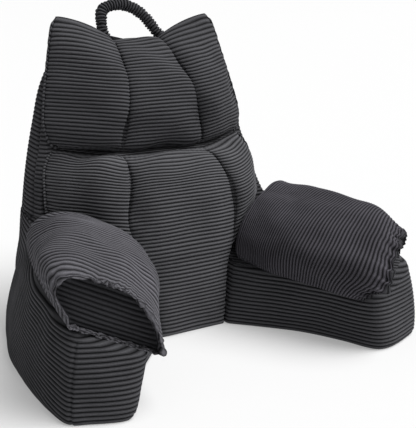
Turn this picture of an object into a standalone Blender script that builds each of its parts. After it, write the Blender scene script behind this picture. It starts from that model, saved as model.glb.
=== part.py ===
"""A reading pillow with arms, in metres: a filled corduroy casing, two quilted cushions, two arm pads and a handle.

The front faces -Y, +X is the sitter's left and the floor is z = 0. Each half mirrors the other across x = 0,
apart from the handle, which hangs a little askew.
"""

import math
from collections import namedtuple

import bmesh
import bpy
from mathutils import Vector

# The corduroy: one wale is a ridge and a groove, and each is one row of points.
WALE = 0.0088
WALE_RISE = 0.0011
HALF_WALE = WALE / 2

# Clear space between two pieces that touch.
GAP = 0.0004

# The tables take y from the sitter's lower back. Every point then moves by this, so that the origin lies on the
# floor under the middle of the whole pillow.
CENTRE_SHIFT = Vector((0.0, 0.0385, 0.0))

# The leaning front face of the casing: y at the floor, and y gained for each metre of height.
FACE_FOOT_Y = 0.030
FACE_LEAN = 0.28

# The back face, in the same way.
BACK_FOOT_Y = 0.262
BACK_LEAN = 0.045

# The plane on which the arm pads lie: z at the origin, and z gained for each metre outwards and backwards.
REST_Z = 0.1062
REST_SLOPE_X = 0.3735
REST_SLOPE_Y = 0.262

# The casing's top, and the height over which its front and back edges round over.
TOP_Z = 0.615
TOP_ROUND = 0.030

# The two cushions meet along a plane that drops towards the front.
SPLIT_Y = 0.085
SPLIT_Z = 0.390
SPLIT_SLOPE = 0.27

# Half widths of the back above the arms, by height.
BackWidth = namedtuple("BackWidth", "z half_width")
BACK_WIDTHS = (
    BackWidth(0.000, 0.330),
    BackWidth(0.120, 0.318),
    BackWidth(0.225, 0.304),
    BackWidth(0.282, 0.294),
    BackWidth(0.340, 0.283),
    BackWidth(0.400, 0.269),
    BackWidth(0.456, 0.254),
    BackWidth(0.514, 0.235),
    BackWidth(0.558, 0.213),
    BackWidth(0.586, 0.192),
    BackWidth(0.604, 0.166),
    BackWidth(0.615, 0.128),
)

# Columns of the arm's wall from the back corner, round the outer side, the front end and the inner side.
# The foot is on the floor, the brow ends the upright wall, and the rim lies on the pad's plane. The arm on the -X
# side is stuffed a little slimmer at its inner front: its foot stands further out by slim, and its brow by half.
ArmColumn = namedtuple("ArmColumn", "foot_x foot_y brow_x brow_y drop rim_x rim_y slim")
ARM_COLUMNS = (
    ArmColumn(0.304, 0.240, 0.288, 0.236, 0.140, 0.271, 0.232, 0.000),
    ArmColumn(0.346, 0.185, 0.318, 0.180, 0.125, 0.295, 0.174, 0.000),
    ArmColumn(0.379, 0.108, 0.343, 0.100, 0.095, 0.310, 0.090, 0.000),
    ArmColumn(0.408, 0.010, 0.374, 0.005, 0.060, 0.336, 0.002, 0.000),
    ArmColumn(0.423, -0.101, 0.401, -0.100, 0.026, 0.378, -0.100, 0.000),
    ArmColumn(0.430, -0.201, 0.408, -0.200, 0.014, 0.392, -0.200, 0.000),
    ArmColumn(0.427, -0.286, 0.404, -0.280, 0.012, 0.389, -0.272, 0.000),
    ArmColumn(0.413, -0.322, 0.392, -0.314, 0.012, 0.377, -0.302, 0.000),
    ArmColumn(0.377, -0.340, 0.358, -0.334, 0.012, 0.347, -0.319, 0.006),
    ArmColumn(0.339, -0.354, 0.321, -0.347, 0.012, 0.315, -0.330, 0.014),
    ArmColumn(0.305, -0.362, 0.288, -0.355, 0.012, 0.286, -0.339, 0.022),
    ArmColumn(0.277, -0.358, 0.261, -0.350, 0.012, 0.268, -0.333, 0.032),
    ArmColumn(0.258, -0.333, 0.245, -0.325, 0.012, 0.256, -0.316, 0.036),
    ArmColumn(0.236, -0.273, 0.224, -0.266, 0.012, 0.237, -0.260, 0.024),
    ArmColumn(0.194, -0.191, 0.186, -0.184, 0.012, 0.198, -0.175, 0.006),
    ArmColumn(0.136, -0.119, 0.138, -0.110, 0.012, 0.150, -0.100, 0.000),
    ArmColumn(0.084, -0.062, 0.107, -0.052, 0.012, 0.116, -0.042, 0.000),
)
CROTCH_FOOT_X = 0.088
CROTCH_TOP_X = 0.113
FOOT_TUCK = 0.006
FOOT_TUCK_HEIGHT = 0.018
WALL_SWELL = 0.006

# The quilted cushions, row by row: the seam between two channels, the side edge, and how far each channel stands
# proud of the straight line between its seams.
QuiltRow = namedtuple("QuiltRow", "v seam_x seam_y seam_z edge_x edge_y edge_z crown side_crown lift")
HEAD_ROWS = (
    QuiltRow(0.00, 0.105, 0.090, 0.392, 0.226, 0.141, 0.405, 0.000, 0.000, 0.000),
    QuiltRow(0.06, 0.102, 0.078, 0.404, 0.241, 0.144, 0.417, 0.012, 0.018, 0.000),
    QuiltRow(0.20, 0.096, 0.075, 0.440, 0.249, 0.153, 0.455, 0.020, 0.030, 0.000),
    QuiltRow(0.40, 0.085, 0.078, 0.495, 0.241, 0.168, 0.508, 0.024, 0.034, 0.000),
    QuiltRow(0.60, 0.077, 0.100, 0.545, 0.231, 0.180, 0.560, 0.024, 0.034, 0.000),
    QuiltRow(0.80, 0.067, 0.150, 0.588, 0.221, 0.192, 0.613, 0.020, 0.028, 0.002),
    QuiltRow(0.93, 0.060, 0.195, 0.615, 0.211, 0.207, 0.655, 0.014, 0.018, 0.008),
    QuiltRow(1.00, 0.057, 0.217, 0.624, 0.192, 0.217, 0.681, 0.004, 0.004, 0.012),
)
LUMBAR_ROWS = (
    QuiltRow(0.00, 0.079, -0.054, 0.001, 0.082, 0.030, 0.001, 0.000, 0.000, 0.000),
    QuiltRow(0.12, 0.088, -0.047, 0.054, 0.091, 0.045, 0.054, 0.010, 0.000, 0.000),
    QuiltRow(0.24, 0.097, -0.041, 0.104, 0.099, 0.058, 0.104, 0.018, 0.000, 0.000),
    QuiltRow(0.33, 0.106, -0.032, 0.143, 0.105, 0.070, 0.144, 0.023, 0.000, 0.000),
    QuiltRow(0.36, 0.112, -0.029, 0.156, 0.108, 0.074, 0.163, 0.024, 0.000, 0.000),
    QuiltRow(0.38, 0.115, -0.027, 0.164, 0.124, 0.078, 0.181, 0.025, 0.000, 0.000),
    QuiltRow(0.40, 0.118, -0.026, 0.173, 0.165, 0.086, 0.203, 0.026, 0.003, 0.000),
    QuiltRow(0.44, 0.125, -0.021, 0.190, 0.228, 0.095, 0.234, 0.028, 0.010, 0.000),
    QuiltRow(0.48, 0.129, -0.017, 0.208, 0.262, 0.100, 0.252, 0.028, 0.018, 0.000),
    QuiltRow(0.60, 0.136, -0.010, 0.258, 0.271, 0.106, 0.274, 0.030, 0.032, 0.000),
    QuiltRow(0.74, 0.127, -0.005, 0.314, 0.268, 0.117, 0.322, 0.032, 0.036, 0.000),
    QuiltRow(0.86, 0.115, 0.017, 0.350, 0.262, 0.127, 0.362, 0.034, 0.036, 0.000),
    QuiltRow(0.95, 0.108, 0.046, 0.376, 0.248, 0.135, 0.388, 0.024, 0.024, 0.000),
    QuiltRow(1.00, 0.105, 0.078, 0.386, 0.236, 0.140, 0.400, 0.000, 0.000, 0.000),
)
HEAD_WALES = 33
LUMBAR_WALES = 49

# The head cushion leans this far towards +X by its top.
HEAD_SWAY = 0.006

# The arm pad lies on the rest plane: its four corners seen from above, and its height off the plane.
PadEnd = namedtuple("PadEnd", "t inner_x inner_y outer_x outer_y height")
PAD_ENDS = (
    PadEnd(0.00, 0.129, -0.045, 0.342, 0.048, 0.088),
    PadEnd(0.30, 0.148, -0.116, 0.374, -0.050, 0.098),
    PadEnd(0.65, 0.192, -0.222, 0.396, -0.168, 0.101),
    PadEnd(1.00, 0.240, -0.346, 0.406, -0.298, 0.104),
)
PAD_WALES = 34
PAD_ARCH_STEPS = 11
PAD_REAR_DOME = 0.018
PAD_END_TUCK = 0.006
PAD_GATHER = 0.03

# How upright the outer half of each pad stands at its front: the right one is stuffed fuller.
LEFT_PAD_UPRIGHT = 0.7
RIGHT_PAD_UPRIGHT = 1.0

# The carrying handle: the middle line of its gathered tube.
HANDLE_RADIUS = 0.0129
HANDLE_RING_RISE = 0.0014
HANDLE_RINGS = 38
HandlePoint = namedtuple("HandlePoint", "x y z")
HANDLE_LINE = (
    HandlePoint(-0.0571, 0.243, 0.6155),
    HandlePoint(-0.0571, 0.243, 0.6200),
    HandlePoint(-0.0571, 0.243, 0.6295),
    HandlePoint(-0.0619, 0.246, 0.6476),
    HandlePoint(-0.0610, 0.252, 0.6653),
    HandlePoint(-0.0574, 0.260, 0.6841),
    HandlePoint(-0.0485, 0.264, 0.6944),
    HandlePoint(-0.0280, 0.267, 0.7019),
    HandlePoint(0.0028, 0.268, 0.7029),
    HandlePoint(0.0285, 0.266, 0.6948),
    HandlePoint(0.0513, 0.262, 0.6793),
    HandlePoint(0.0657, 0.257, 0.6623),
    HandlePoint(0.0796, 0.250, 0.6417),
    HandlePoint(0.0900, 0.243, 0.6275),
    HandlePoint(0.0900, 0.243, 0.6200),
    HandlePoint(0.0900, 0.243, 0.6155),
)

CORDUROY = (0.060, 0.060, 0.064, 1.0)


def spline(rows, at):
    """The table read at this value of its first column, as a smooth curve through the rows."""
    last = len(rows) - 1
    index = 0
    while index < last - 1 and rows[index + 1][0] < at:
        index += 1
    before = rows[max(index - 1, 0)]
    start = rows[index]
    end = rows[index + 1]
    after = rows[min(index + 2, last)]
    span = end[0] - start[0]
    s = min(max((at - start[0]) / span, 0.0), 1.0)
    values = []
    for column in range(1, len(start)):
        slope_in = (end[column] - before[column]) / (end[0] - before[0]) * span
        slope_out = (after[column] - start[column]) / (after[0] - start[0]) * span
        a = 2 * start[column] - 2 * end[column] + slope_in + slope_out
        b = 3 * (end[column] - start[column]) - 2 * slope_in - slope_out
        values.append(((a * s + b) * s + slope_in) * s + start[column])
    return values


def face_y(z):
    """The y of the casing's leaning front face."""
    return FACE_FOOT_Y + FACE_LEAN * z


def rest_z(x, y):
    """The height of the plane under the arm pads, x measured outwards from the middle."""
    return REST_Z + REST_SLOPE_X * x + REST_SLOPE_Y * y


def ridge(row):
    """Out on a ridge, in on a groove."""
    return WALE_RISE if row % 2 else -WALE_RISE


def material(name):
    made = bpy.data.materials.new(name)
    made.use_nodes = True
    shader = made.node_tree.nodes["Principled BSDF"]
    shader.inputs["Base Color"].default_value = CORDUROY
    shader.inputs["Roughness"].default_value = 0.9
    made.diffuse_color = CORDUROY
    return made


class Solid:
    """Points and faces of one closed piece, with points shared by name."""

    def __init__(self, name):
        self.name = name
        self.points = []
        self.faces = []
        self.index = {}

    def point(self, key, place):
        if key not in self.index:
            self.index[key] = len(self.points)
            self.points.append(Vector(place))
        return self.index[key]

    def face(self, corners):
        kept = []
        for corner in corners:
            if corner not in kept:
                kept.append(corner)
        if len(kept) > 2:
            self.faces.append(kept)

    def build(self, smooth_angle):
        mesh = bpy.data.meshes.new(self.name)
        mesh.from_pydata([place + CENTRE_SHIFT for place in self.points], [], self.faces)
        shape = bmesh.new()
        shape.from_mesh(mesh)
        bmesh.ops.triangulate(shape, faces=[f for f in shape.faces if len(f.verts) > 4])
        bmesh.ops.recalc_face_normals(shape, faces=shape.faces)
        shape.to_mesh(mesh)
        shape.free()
        made = bpy.data.objects.new(self.name, mesh)
        mesh.materials.append(material(self.name + "_corduroy"))
        collection.objects.link(made)
        bpy.context.view_layer.objects.active = made
        made.select_set(True)
        bpy.ops.object.shade_smooth_by_angle(angle=math.radians(smooth_angle))
        made.select_set(False)
        return made


def half_width(z):
    return spline(BACK_WIDTHS, z)[0]


def back_section(z):
    """Right half of the back's outline at this height, from the middle of its back face to the front corner."""
    w = half_width(z)
    over = max(z - (TOP_Z - TOP_ROUND), 0.0) / TOP_ROUND
    rounding = TOP_ROUND * (1 - math.sqrt(max(1 - over * over, 0.0)))
    front = face_y(z) + 0.9 * rounding
    rear = BACK_FOOT_Y + BACK_LEAN * z - 0.9 * rounding
    depth = rear - front
    corner = min(0.055, 0.5 * depth)
    return (
        (0.40 * w, rear),
        (w - 1.15 * corner, rear - 0.12 * corner),
        (w - 0.40 * corner, rear - 0.72 * corner),
        (w + 0.002, front + 0.45 * depth),
        (w, front + min(0.016, 0.2 * depth)),
        (w - 0.012, front),
    )


def wall_point(column, z, side):
    """A point of the arm's wall at this height: upright to the brow, then rounding in to the rim."""
    rim_z = rest_z(column.rim_x, column.rim_y)
    brow_z = rim_z - column.drop
    share = min(z / brow_z, 1.0)
    over = max(z - brow_z, 0.0) / column.drop
    slim = column.slim * (1 - 0.5 * share) if side < 0 else 0.0
    out_x = column.brow_x - column.rim_x
    out_y = column.brow_y - column.rim_y
    length = math.hypot(out_x, out_y)
    tuck = FOOT_TUCK * max(1 - z / FOOT_TUCK_HEIGHT, 0.0) ** 2
    push = (WALL_SWELL * math.sin(math.pi * share) - tuck) / length - min(over, 1.0) ** 1.5
    x = column.foot_x + (column.brow_x - column.foot_x) * share + out_x * push + slim
    y = column.foot_y + (column.brow_y - column.foot_y) * share + out_y * push
    return x, y, out_x / length, out_y / length


def make_body():
    """The filled casing: a tall back that runs down into two arms, in one piece with a flat foot."""
    solid = Solid("body")
    rows = round(TOP_Z / HALF_WALE)
    step = TOP_Z / rows
    sides = (1, -1)

    def snapped(z):
        return round(z / step)

    corner = back_section(rest_z(0.25, 0.25))[1]
    corner_row = snapped(rest_z(corner[0], corner[1]))
    crotch_row = snapped(rest_z(CROTCH_TOP_X, face_y(0.16)))

    def back_point(side, column, row):
        z = row * step
        section = back_section(z)
        x, y = section[column]
        if column in (0, 1):
            normal = (0.25 * column, 1.0)
        elif column == 2:
            normal = (0.8, 0.6)
        elif column == 5:
            normal = (0.0, 0.0)
        else:
            normal = (1.0, 0.0)
        rise = 0.0 if row in (0, rows) else ridge(row)
        tuck = FOOT_TUCK * max(1 - z / FOOT_TUCK_HEIGHT, 0.0) ** 2
        x += normal[0] * (rise - tuck)
        y += normal[1] * (rise - tuck)
        return solid.point(("back", side, column, row), (side * x, y, z))

    def base_row(column):
        """The row from which a column of the upper back starts, above the arm."""
        x, y = back_section(0.25)[column]
        return snapped(rest_z(x, y)) + 1

    def upper_point(side, column, row):
        """A point of the back above the arm, held at the rest plane below its first row."""
        if column == 1:
            return back_point(side, column, max(row, corner_row))
        if row >= base_row(column):
            return back_point(side, column, row)
        x, y = back_section(0.25)[column]
        z = rest_z(x, y)
        if column == 5:
            y = face_y(z)
        return solid.point(("base", side, column), (side * x, y, z))

    def crotch_point(side, row):
        z = min(row, crotch_row) * step
        x = CROTCH_FOOT_X + (CROTCH_TOP_X - CROTCH_FOOT_X) * z / (crotch_row * step)
        return solid.point(("crotch", side, min(row, crotch_row)), (side * x, face_y(z), z))

    def arm_point(side, column, row):
        """A point of the arm's wall, held at the brow above its last row."""
        if column < 0:
            return back_point(side, 1, min(row, corner_row))
        if column == len(ARM_COLUMNS):
            return crotch_point(side, row)
        data = ARM_COLUMNS[column]
        rim_z = rest_z(data.rim_x, data.rim_y)
        last = math.floor(rim_z / step - 0.4)
        if row > last:
            return rim_point(side, column)
        z = row * step
        x, y, out_x, out_y = wall_point(data, z, side)
        rise = 0.0 if row == 0 else ridge(row)
        place = (side * (x + out_x * rise), y + out_y * rise, z)
        return solid.point(("arm", side, column, row), place)

    def rim_point(side, column):
        if column < 0:
            return back_point(side, 1, corner_row)
        if column == len(ARM_COLUMNS):
            return crotch_point(side, crotch_row)
        data = ARM_COLUMNS[column]
        x = data.rim_x + (0.5 * data.slim if side < 0 else 0.0)
        return solid.point(("rim", side, column), (side * x, data.rim_y, rest_z(x, data.rim_y)))

    count = len(ARM_COLUMNS)
    for row in range(rows):
        solid.face([back_point(1, 0, row), back_point(1, 0, row + 1),
                    back_point(-1, 0, row + 1), back_point(-1, 0, row)])
        for side in sides:
            solid.face([back_point(side, 0, row), back_point(side, 1, row),
                        back_point(side, 1, row + 1), back_point(side, 0, row + 1)])
            for column in range(1, 5):
                solid.face([upper_point(side, column, row), upper_point(side, column + 1, row),
                            upper_point(side, column + 1, row + 1), upper_point(side, column, row + 1)])
            for column in range(-1, count):
                solid.face([arm_point(side, column, row), arm_point(side, column + 1, row),
                            arm_point(side, column + 1, row + 1), arm_point(side, column, row + 1)])
        solid.face([crotch_point(1, row), crotch_point(-1, row),
                    crotch_point(-1, row + 1), crotch_point(1, row + 1)])
        solid.face([upper_point(1, 5, row), upper_point(-1, 5, row),
                    upper_point(-1, 5, row + 1), upper_point(1, 5, row + 1)])
    solid.face([crotch_point(1, crotch_row), crotch_point(-1, crotch_row),
                upper_point(-1, 5, 0), upper_point(1, 5, 0)])

    for side in sides:
        shelf = [rim_point(side, column) for column in range(-1, count + 1)]
        shelf += [upper_point(side, column, 0) for column in range(5, 1, -1)]
        solid.face(shelf)

    foot = [back_point(1, 0, 0)] + [arm_point(1, column, 0) for column in range(-1, count + 1)]
    foot += [arm_point(-1, column, 0) for column in range(count, -2, -1)] + [back_point(-1, 0, 0)]
    solid.face(foot)
    crown = [back_point(1, column, rows) for column in range(6)]
    crown += [back_point(-1, column, rows) for column in range(5, -1, -1)]
    solid.face(crown)
    return solid.build(50)


# Across half a quilted cushion: share of the middle channel, then share of the side channel.
MIDDLE_STEPS = (0.0, 0.42, 0.78, 1.0)
SIDE_STEPS = (0.16, 0.45, 0.74, 0.93, 1.0)
SEAM_COLUMN = len(SIDE_STEPS)


def quilt_point(data, across, side, rise):
    """A point of the cushion's front: across runs 0 to 1 over the middle channel and 1 to 2 over the side one."""
    seam_x, seam_y, seam_z, edge_x, edge_y, edge_z, crown, side_crown, lift = data
    if across <= 1.0:
        bow = math.sqrt(max(1 - across ** 2.2, 0.0))
        swell = crown * bow
        return side * seam_x * across, seam_y - swell - rise, seam_z + 0.25 * swell + 0.4 * lift * bow
    share = across - 1.0
    bow = math.sin(math.pi * share ** 0.8) ** 0.7 if 0 < share < 1 else 0.0
    swell = side_crown * bow
    out = seam_x + (edge_x - seam_x) * share
    chord = seam_y + (edge_y - seam_y) * share ** 1.3
    height = seam_z + (edge_z - seam_z) * share
    return side * out, chord - swell - rise, height + 0.15 * swell + lift * bow


def make_quilt(name, table, wales, sway, top_is_split):
    """A filled cushion of three upright channels, flat at the back where it lies on the casing."""
    solid = Solid(name)
    rows = 2 * wales
    across = [(-1, 1 + s) for s in reversed(SIDE_STEPS)]
    across += [(-1, s) for s in reversed(MIDDLE_STEPS)]
    across += [(1, s) for s in MIDDLE_STEPS[1:]]
    across += [(1, 1 + s) for s in SIDE_STEPS]
    last = len(across) - 1

    def front(column, row):
        side, share = across[column]
        data = spline(table, row / rows)
        rise = ridge(row) if 0 < row < rows and 0 < column < last else 0.0
        x, y, z = quilt_point(data, share, side, rise)
        x += sway * (row / rows) ** 2
        if row == 0 or row == rows:
            split = (row == rows) == top_is_split
            if split:
                z = SPLIT_Z + SPLIT_SLOPE * (y - SPLIT_Y) + (-GAP if top_is_split else GAP)
        if column in (0, last):
            if row == (rows if top_is_split else 0):
                z = split_back_z()
            y = face_y(z) - GAP
        return solid.point((column, row), (x, y, z))

    def split_back_z():
        """Where the split plane meets the cushion's back."""
        shift = -GAP if top_is_split else GAP
        level = SPLIT_Z + SPLIT_SLOPE * (FACE_FOOT_Y - GAP - SPLIT_Y) + shift
        return level / (1 - SPLIT_SLOPE * FACE_LEAN)

    def back(column, row):
        """The flat back has one column under each seam. At the free top it closes onto the front."""
        if column in (0, 3):
            return front(0 if column == 0 else last, row)
        seam = SEAM_COLUMN if column == 1 else last - SEAM_COLUMN
        at_split = row == (rows if top_is_split else 0)
        if row == rows and not top_is_split:
            return front(seam, row)
        place = solid.points[front(seam, row)]
        z = split_back_z() if at_split else place.z
        over = max(row / rows - 0.9, 0.0) / 0.1 if not top_is_split else 0.0
        y = face_y(z) - GAP
        y = max(y + (place.y - y) * over, place.y + 0.004 * (1 - over)) if over else y
        return solid.point(("back", column, row), (place.x, y, z))

    for row in range(rows):
        for column in range(last):
            solid.face([front(column, row), front(column + 1, row),
                        front(column + 1, row + 1), front(column, row + 1)])
        for column in range(3):
            solid.face([back(column + 1, row), back(column, row),
                        back(column, row + 1), back(column + 1, row + 1)])
    foot = [front(column, 0) for column in range(last + 1)]
    solid.face(foot + [back(2, 0), back(1, 0)])
    if top_is_split:
        top = [front(column, rows) for column in range(last + 1)]
        solid.face(top + [back(2, rows), back(1, rows)])
    else:
        for start, end in ((0, SEAM_COLUMN), (SEAM_COLUMN, last - SEAM_COLUMN), (last - SEAM_COLUMN, last)):
            solid.face([front(column, rows) for column in range(start, end + 1)])
    return solid.build(50)


def pad_ring(t):
    """Inner and outer bottom corners of the pad and its height, at a share of the length from the rear."""
    inner_x, inner_y, outer_x, outer_y, height = spline(PAD_ENDS, t)
    inner = Vector((inner_x, inner_y, rest_z(inner_x, inner_y) + GAP))
    outer = Vector((outer_x, outer_y, rest_z(outer_x, outer_y) + GAP))
    return inner, outer, height


def make_pad(name, side, upright_share):
    """A stuffed half-round bolster, flat below, domed at the rear and gathered round an end panel at the front."""
    solid = Solid(name)
    upright = Vector((0.0, 0.0, 1.0))
    square = Vector((-REST_SLOPE_X, -REST_SLOPE_Y, 1.0)).normalized()
    rows = 2 * PAD_WALES

    def arch(ring, inner, outer, height, rise, shift, stand):
        """One ring: the arch from the inner corner to the outer one, then a middle point below.

        Towards the front the outer half stands upright, by stand, where at the rear all of it leans inwards.
        """
        middle = (inner + outer) / 2
        half = (outer - inner) / 2
        places = []
        for step in range(PAD_ARCH_STEPS + 1):
            angle = math.pi * step / PAD_ARCH_STEPS
            reach = -math.copysign(abs(math.cos(angle)) ** 0.85, math.cos(angle))
            skewed = math.pi * (step / PAD_ARCH_STEPS) ** (1 + 0.3 * stand)
            lift = math.sin(skewed) ** 0.75 if 0 < step < PAD_ARCH_STEPS else 0.0
            up = square.lerp(upright, stand * (0.5 + 0.5 * reach))
            out = half.normalized() * rise * reach
            if step in (0, PAD_ARCH_STEPS):
                out = Vector()
            places.append(middle + half * reach + up * (height + rise) * lift + out + shift)
        places.append(middle + shift)
        made = []
        for number, place in enumerate(places):
            place = Vector((side * place.x, place.y, place.z))
            made.append(solid.point((ring, number), place))
        return made

    rings = []
    inner, outer, height = pad_ring(0.0)
    axis = (pad_ring(0.02)[0] + pad_ring(0.02)[1] - inner - outer).normalized()
    middle = (inner + outer) / 2
    for number, angle in enumerate((80, 50, 24)):
        share = math.cos(math.radians(angle))
        depth = PAD_REAR_DOME * math.sin(math.radians(angle))
        squeeze = 0.84 + 0.16 * share
        a = middle + (inner - middle) * squeeze
        b = middle + (outer - middle) * squeeze
        rings.append(arch(("rear", number), a, b, height * (0.70 + 0.30 * share), 0.0, -axis * depth, 0.0))
    for row in range(rows + 1):
        inner, outer, height = pad_ring(row / rows)
        gather = PAD_GATHER * max((row / rows - 0.9) / 0.1, 0.0) ** 2
        middle = (inner + outer) / 2
        inner = inner.lerp(middle, gather)
        outer = outer.lerp(middle, gather)
        height *= 1 - gather
        stand = upright_share * min(max((row / rows - 0.3) / 0.6, 0.0), 1.0)
        rings.append(arch(("wale", row), inner, outer, height, ridge(row), Vector(), stand))
    axis = (inner + outer - pad_ring(0.98)[0] - pad_ring(0.98)[1]).normalized()
    middle = (inner + outer) / 2
    for number, (squeeze, shift) in enumerate(((0.985, -0.3), (0.955, -1.0), (0.88, 0.2), (0.55, 1.0))):
        a = middle + (inner - middle) * squeeze
        b = middle + (outer - middle) * squeeze
        lift = height * squeeze
        rings.append(arch(("front", number), a, b, lift, 0.0, axis * PAD_END_TUCK * shift, upright_share))

    for first, second in zip(rings, rings[1:]):
        for number in range(len(first)):
            after = (number + 1) % len(first)
            solid.face([first[number], first[after], second[after], second[number]])
    solid.face(rings[0][::-1])
    solid.face(rings[-1])
    return solid.build(50)


def make_handle():
    """A gathered tube of cloth in a loop: a bevelled curve whose points swell and narrow ring by ring."""
    table = [(number, *place) for number, place in enumerate(HANDLE_LINE)]
    fine = [Vector(spline(table, i * (len(table) - 1) / 400)) for i in range(401)]
    lengths = [0.0]
    for a, b in zip(fine, fine[1:]):
        lengths.append(lengths[-1] + (b - a).length)

    def along(share):
        want = share * lengths[-1]
        index = 1
        while index < len(lengths) - 1 and lengths[index] < want:
            index += 1
        part = (want - lengths[index - 1]) / (lengths[index] - lengths[index - 1])
        return fine[index - 1].lerp(fine[index], part)

    curve = bpy.data.curves.new("handle", "CURVE")
    curve.dimensions = "3D"
    curve.bevel_depth = HANDLE_RADIUS
    curve.bevel_resolution = 2
    curve.use_fill_caps = True
    rows = 2 * HANDLE_RINGS
    path = curve.splines.new("POLY")
    path.points.add(rows)
    for row, knot in enumerate(path.points):
        knot.co = (*(along(row / rows) + CENTRE_SHIFT), 1.0)
        rise = HANDLE_RING_RISE if row % 2 else -HANDLE_RING_RISE
        knot.radius = 1 + rise / HANDLE_RADIUS
    made = bpy.data.objects.new("handle", curve)
    curve.materials.append(material("handle_corduroy"))
    collection.objects.link(made)
    return made


for existing in list(bpy.data.objects):
    bpy.data.objects.remove(existing)
collection = bpy.data.collections.new("reading_pillow")
bpy.context.scene.collection.children.link(collection)

make_body()
make_quilt("lumbar_cushion", LUMBAR_ROWS, LUMBAR_WALES, 0.0, True)
make_quilt("head_cushion", HEAD_ROWS, HEAD_WALES, HEAD_SWAY, False)
make_pad("arm_pad_left", 1, LEFT_PAD_UPRIGHT)
make_pad("arm_pad_right", -1, RIGHT_PAD_UPRIGHT)
make_handle()
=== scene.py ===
"""The looks of a reading pillow with arms, in charcoal corduroy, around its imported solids.

Lengths are in metres, the sitter faces -Y, +X is the sitter's left and the floor is z = 0.
"""

import math

import bmesh
import bpy
import numpy as np
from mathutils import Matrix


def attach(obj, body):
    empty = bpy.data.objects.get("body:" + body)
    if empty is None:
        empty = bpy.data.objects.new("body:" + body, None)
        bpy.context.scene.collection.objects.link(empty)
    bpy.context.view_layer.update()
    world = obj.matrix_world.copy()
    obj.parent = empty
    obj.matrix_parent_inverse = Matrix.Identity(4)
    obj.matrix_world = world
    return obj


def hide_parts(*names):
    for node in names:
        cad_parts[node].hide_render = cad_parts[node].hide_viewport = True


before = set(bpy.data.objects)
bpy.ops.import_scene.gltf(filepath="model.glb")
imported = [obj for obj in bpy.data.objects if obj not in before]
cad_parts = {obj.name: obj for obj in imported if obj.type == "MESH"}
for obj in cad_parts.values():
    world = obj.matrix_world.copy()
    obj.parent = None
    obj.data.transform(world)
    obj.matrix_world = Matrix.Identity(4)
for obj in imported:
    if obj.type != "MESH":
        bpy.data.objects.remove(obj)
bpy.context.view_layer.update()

# --------------------------------------------------------------------------------------------------
# The casing: a high back that runs down into two arms, sewn from wide-wale corduroy round a fibre
# filling. Its wales run level but for the side panels', which slant down to the front. Seams run up
# the rear corners, the strips beside the cushions and the arms' outer front corners.

TOP_Z, TOP_ROUND = 0.615, 0.030
WALES_HIGH = 70
WALE = TOP_Z / WALES_HIGH
RIDGE_OUT, GROOVE_IN, RIDGE_SHAPE = 0.0007, 0.0014, 2.4
# Where a wale's rows of points lie, as shares of it.
ROW_STEPS = np.array([0.0, 0.10, 0.27, 0.50, 0.73, 0.90])
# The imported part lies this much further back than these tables.
CENTRE_SHIFT = np.array([0.0, 0.0385, 0.0])
# Points closer than this are joined.
JOIN_WITHIN = 3e-5

FACE_FOOT_Y, FACE_LEAN = 0.030, 0.28
BACK_FOOT_Y, BACK_LEAN, REAR_CORNER = 0.262, 0.045, 0.055
REST_Z, REST_SLOPE_X, REST_SLOPE_Y = 0.1062, 0.3735, 0.262
CROTCH_FOOT_X, CROTCH_TOP_X, CROTCH_TOP_Z = 0.088, 0.113, 0.168
FOOT_TUCK, FOOT_TUCK_HEIGHT, WALL_SWELL = 0.006, 0.018, 0.006

# z, half width of the back
BACK_WIDTHS = (
    (0.000, 0.330), (0.120, 0.318), (0.225, 0.304), (0.282, 0.294), (0.340, 0.283), (0.400, 0.269),
    (0.456, 0.254), (0.514, 0.235), (0.558, 0.213), (0.586, 0.192), (0.604, 0.166), (0.615, 0.128),
)
# column, foot x and y, brow x and y, drop from rim to brow, rim x and y, slimming of the right arm
ARM_WALL = (
    (-1, 0.2668, 0.2554, 0.2345, 0.2671, 0.012, 0.2343, 0.2672, 0),
    (0, 0.304, 0.240, 0.290, 0.236, 0.140, 0.281, 0.229, 0),
    (1, 0.346, 0.185, 0.318, 0.180, 0.125, 0.301, 0.172, 0),
    (2, 0.379, 0.108, 0.343, 0.100, 0.095, 0.310, 0.090, 0),
    (3, 0.408, 0.010, 0.374, 0.005, 0.060, 0.336, 0.002, 0),
    (4, 0.423, -0.101, 0.401, -0.100, 0.026, 0.378, -0.100, 0),
    (5, 0.430, -0.201, 0.408, -0.200, 0.014, 0.392, -0.200, 0),
    (6, 0.427, -0.286, 0.404, -0.280, 0.012, 0.389, -0.272, 0),
    (7, 0.413, -0.322, 0.392, -0.314, 0.012, 0.377, -0.302, 0),
    (8, 0.377, -0.340, 0.358, -0.334, 0.012, 0.347, -0.319, 0.006),
    (9, 0.339, -0.354, 0.321, -0.347, 0.012, 0.315, -0.330, 0.014),
    (10, 0.305, -0.362, 0.288, -0.355, 0.012, 0.286, -0.339, 0.022),
    (11, 0.277, -0.358, 0.261, -0.350, 0.012, 0.268, -0.333, 0.032),
    (12, 0.258, -0.333, 0.245, -0.325, 0.012, 0.256, -0.316, 0.036),
    (13, 0.236, -0.273, 0.224, -0.266, 0.012, 0.237, -0.260, 0.024),
    (14, 0.194, -0.191, 0.186, -0.184, 0.012, 0.198, -0.175, 0.006),
    (15, 0.136, -0.119, 0.138, -0.110, 0.012, 0.150, -0.100, 0),
    (16, 0.084, -0.062, 0.107, -0.052, 0.012, 0.116, -0.042, 0),
)
REAR_COLUMN, SEAM_COLUMN, LOWEST_RIM, CROTCH_COLUMN = -1, 7, 11.5, 16
# The left arm is slimmer round this column, over about so many columns.
LEFT_SLIM, LEFT_SLIM_AT, LEFT_SLIM_WIDE = 0.005, 6.6, 1.4
# How far in the back's front corner lies at these heights.
INSET_HEIGHTS = (0.20, 0.28, 0.40, 0.50, 0.60)
INSETS = (0.0, 0.008, 0.0144, 0.009, 0.004)
SIDE_SLANT = 0.18
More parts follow.
